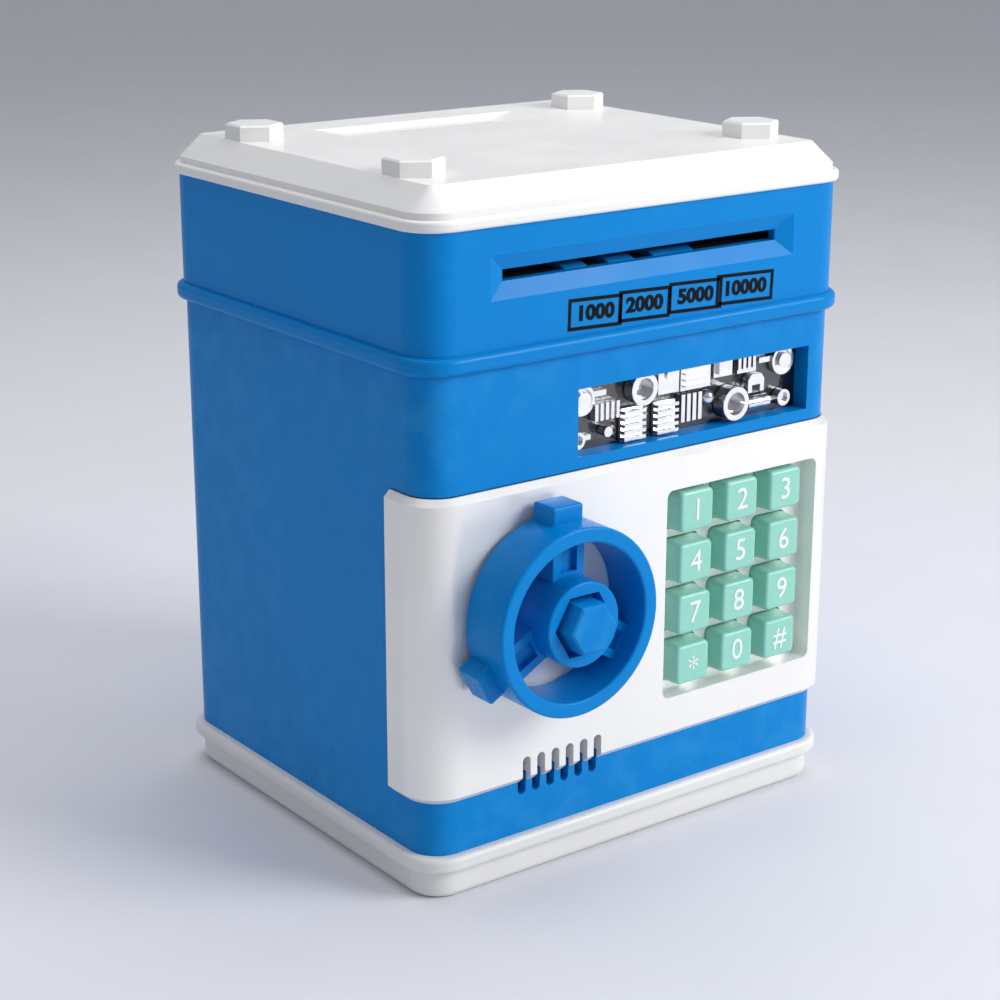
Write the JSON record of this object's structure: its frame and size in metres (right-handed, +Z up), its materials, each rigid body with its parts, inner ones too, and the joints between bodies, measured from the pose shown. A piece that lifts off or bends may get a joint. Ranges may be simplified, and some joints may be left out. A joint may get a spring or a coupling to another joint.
{
  "type": "toy savings safe",
  "caption": "Boxy toy money safe: hinged front door with keypad and spoked handle wheel, motor-driven note slot above, coin slot in the lid, battery tray below.",
  "frame": {"origin": "centre of the base's underside", "axes": "+X to the right as the door is faced, +Y to the back, +Z up"},
  "size_m": [0.1376, 0.1418, 0.1807],
  "materials": {
    "base_tray": "white, fine matt",
    "base_screws": "steel",
    "main_housing": "blue, satin gloss",
    "latch_strike": "blue, satin gloss",
    "compartment_floor": "blue, inside",
    "upper_housing": "blue, satin gloss",
    "lid": "white, satin gloss",
    "hex_caps": "white, satin gloss",
    "lid_screws": "steel",
    "window_relief": "chrome plated relief on a dark ground",
    "hinge_pins": "steel",
    "roller_frame_left": "dark frame",
    "roller_frame_right": "dark frame",
    "frame_screws": "steel",
    "shaft_bushes": "acetal",
    "note_guide_lower": "black guide",
    "note_guide_upper": "black guide",
    "note_ramps": "blue, satin gloss",
    "motor": "steel can",
    "main_pcb": "green board",
    "speaker": "black cone and frame",
    "battery_cells": "plain wrap",
    "battery_contacts": "plated spring steel",
    "door_shell": "pearl silver paint on plastic",
    "door_back_cover": "grey inside cover",
    "cover_screws": "steel",
    "keypad_membrane": "silicone",
    "keypad_pcb": "green board",
    "lock_solenoid": "steel can",
    "handle_wheel": "blue, satin gloss",
    "handle_bolt": "blue, satin gloss",
    "handle_spindle": "dark acetal",
    "latch_cam": "pressed steel",
    "cam_screw": "steel",
    "lock_plunger": "turned steel",
    "drive_shaft": "ground steel",
    "drive_rollers": "blue rubber",
    "drive_gear": "acetal gear",
    "pinch_shaft": "ground steel",
    "pinch_rollers": "blue rubber",
    "motor_pinion": "acetal gear",
    "note_sensor_lever": "grey lever",
    "battery_door": "white, fine matt",
    "battery_door_screw": "steel",
    "key_1": "mint, white legend",
    "key_2": "mint, white legend",
    "key_3": "mint, white legend",
    "key_4": "mint, white legend",
    "key_5": "mint, white legend",
    "key_6": "mint, white legend",
    "key_7": "mint, white legend",
    "key_8": "mint, white legend",
    "key_9": "mint, white legend",
    "key_star": "mint, white legend",
    "key_0": "mint, white legend",
    "key_hash": "mint, white legend"
  },
  "bodies": {
    "casing": {"base_tray": "base_tray", "base_screws": "base_screws", "main_housing": "main_housing", "latch_strike": "latch_strike", "compartment_floor": "compartment_floor", "upper_housing": "upper_housing", "lid": "lid", "hex_caps": "hex_caps", "lid_screws": "lid_screws", "window_relief": "window_relief", "hinge_pins": "hinge_pins", "roller_frame_left": "roller_frame_left", "roller_frame_right": "roller_frame_right", "frame_screws": "frame_screws", "shaft_bushes": "shaft_bushes", "note_guide_lower": "note_guide_lower", "note_guide_upper": "note_guide_upper", "note_ramps": "note_ramps", "motor": "motor", "main_pcb": "main_pcb", "speaker": "speaker", "battery_cells": "battery_cells", "battery_contacts": "battery_contacts"},
    "door": {"door_shell": "door_shell", "door_back_cover": "door_back_cover", "cover_screws": "cover_screws", "keypad_membrane": "keypad_membrane", "keypad_pcb": "keypad_pcb", "lock_solenoid": "lock_solenoid"},
    "handle": {"handle_wheel": "handle_wheel", "handle_bolt": "handle_bolt", "handle_spindle": "handle_spindle", "latch_cam": "latch_cam", "cam_screw": "cam_screw"},
    "lock_pin": {"lock_plunger": "lock_plunger"},
    "note_drive": {"drive_shaft": "drive_shaft", "drive_rollers": "drive_rollers", "drive_gear": "drive_gear"},
    "note_pinch": {"pinch_shaft": "pinch_shaft", "pinch_rollers": "pinch_rollers"},
    "pinion": {"motor_pinion": "motor_pinion"},
    "note_lever": {"note_sensor_lever": "note_sensor_lever"},
    "battery_cover": {"battery_door": "battery_door", "battery_door_screw": "battery_door_screw"},
    "key_1": {"key_1": "key_1"},
    "key_2": {"key_2": "key_2"},
    "key_3": {"key_3": "key_3"},
    "key_4": {"key_4": "key_4"},
    "key_5": {"key_5": "key_5"},
    "key_6": {"key_6": "key_6"},
    "key_7": {"key_7": "key_7"},
    "key_8": {"key_8": "key_8"},
    "key_9": {"key_9": "key_9"},
    "key_star": {"key_star": "key_star"},
    "key_0": {"key_0": "key_0"},
    "key_hash": {"key_hash": "key_hash"}
  },
  "joints": [
    {"name": "door_hinge", "type": "hinge", "parent": "casing", "child": "door", "pos_m": [0.061, -0.038, 0.065], "axis": [0, 0, 1], "range_deg": [0, 90]},
    {"name": "handle_turn", "type": "hinge", "parent": "door", "child": "handle", "pos_m": [-0.0337, -0.06, 0.0721], "axis": [0, -1, 0], "range_deg": [0, 90]},
    {"name": "lock_pin_slide", "type": "slide", "parent": "door", "child": "lock_pin", "axis": [0, 0, 1], "range_m": [0, 0.0034]},
    {"name": "note_drive_spin", "type": "hinge", "parent": "casing", "child": "note_drive", "pos_m": [0, -0.04, 0.14845], "axis": [1, 0, 0], "continuous": true},
    {"name": "note_pinch_spin", "type": "hinge", "parent": "casing", "child": "note_pinch", "pos_m": [0, -0.04, 0.1601], "axis": [1, 0, 0], "continuous": true},
    {"name": "pinion_spin", "type": "hinge", "parent": "casing", "child": "pinion", "pos_m": [0.0536, -0.027, 0.14226], "axis": [1, 0, 0], "continuous": true},
    {"name": "note_lever_swing", "type": "hinge", "parent": "casing", "child": "note_lever", "pos_m": [0.012, -0.031, 0.1608], "axis": [1, 0, 0], "range_deg": [0, 45], "stiffness_Nm_per_rad": 0.0008, "springref_deg": -5.73},
    {"name": "battery_cover_lift", "type": "slide", "parent": "casing", "child": "battery_cover", "axis": [0, 0, -1], "range_m": [0, 0.025]},
    {"name": "key_1_press", "type": "slide", "parent": "door", "child": "key_1", "axis": [0, 1, 0], "range_m": [0, 0.0012], "stiffness_N_per_m": 200, "springref_m": -0.0015},
    {"name": "key_2_press", "type": "slide", "parent": "door", "child": "key_2", "axis": [0, 1, 0], "range_m": [0, 0.0012], "stiffness_N_per_m": 200, "springref_m": -0.0015},
    {"name": "key_3_press", "type": "slide", "parent": "door", "child": "key_3", "axis": [0, 1, 0], "range_m": [0, 0.0012], "stiffness_N_per_m": 200, "springref_m": -0.0015},
    {"name": "key_4_press", "type": "slide", "parent": "door", "child": "key_4", "axis": [0, 1, 0], "range_m": [0, 0.0012], "stiffness_N_per_m": 200, "springref_m": -0.0015},
    {"name": "key_5_press", "type": "slide", "parent": "door", "child": "key_5", "axis": [0, 1, 0], "range_m": [0, 0.0012], "stiffness_N_per_m": 200, "springref_m": -0.0015},
    {"name": "key_6_press", "type": "slide", "parent": "door", "child": "key_6", "axis": [0, 1, 0], "range_m": [0, 0.0012], "stiffness_N_per_m": 200, "springref_m": -0.0015},
    {"name": "key_7_press", "type": "slide", "parent": "door", "child": "key_7", "axis": [0, 1, 0], "range_m": [0, 0.0012], "stiffness_N_per_m": 200, "springref_m": -0.0015},
    {"name": "key_8_press", "type": "slide", "parent": "door", "child": "key_8", "axis": [0, 1, 0], "range_m": [0, 0.0012], "stiffness_N_per_m": 200, "springref_m": -0.0015},
    {"name": "key_9_press", "type": "slide", "parent": "door", "child": "key_9", "axis": [0, 1, 0], "range_m": [0, 0.0012], "stiffness_N_per_m": 200, "springref_m": -0.0015},
    {"name": "key_star_press", "type": "slide", "parent": "door", "child": "key_star", "axis": [0, 1, 0], "range_m": [0, 0.0012], "stiffness_N_per_m": 200, "springref_m": -0.0015},
    {"name": "key_0_press", "type": "slide", "parent": "door", "child": "key_0", "axis": [0, 1, 0], "range_m": [0, 0.0012], "stiffness_N_per_m": 200, "springref_m": -0.0015},
    {"name": "key_hash_press", "type": "slide", "parent": "door", "child": "key_hash", "axis": [0, 1, 0], "range_m": [0, 0.0012], "stiffness_N_per_m": 200, "springref_m": -0.0015}
  ],
  "couplings": [
    {"joint": "note_pinch_spin", "follows": "note_drive_spin", "ratio": -1.2},
    {"joint": "pinion_spin", "follows": "note_drive_spin", "ratio": -2}
  ]
}
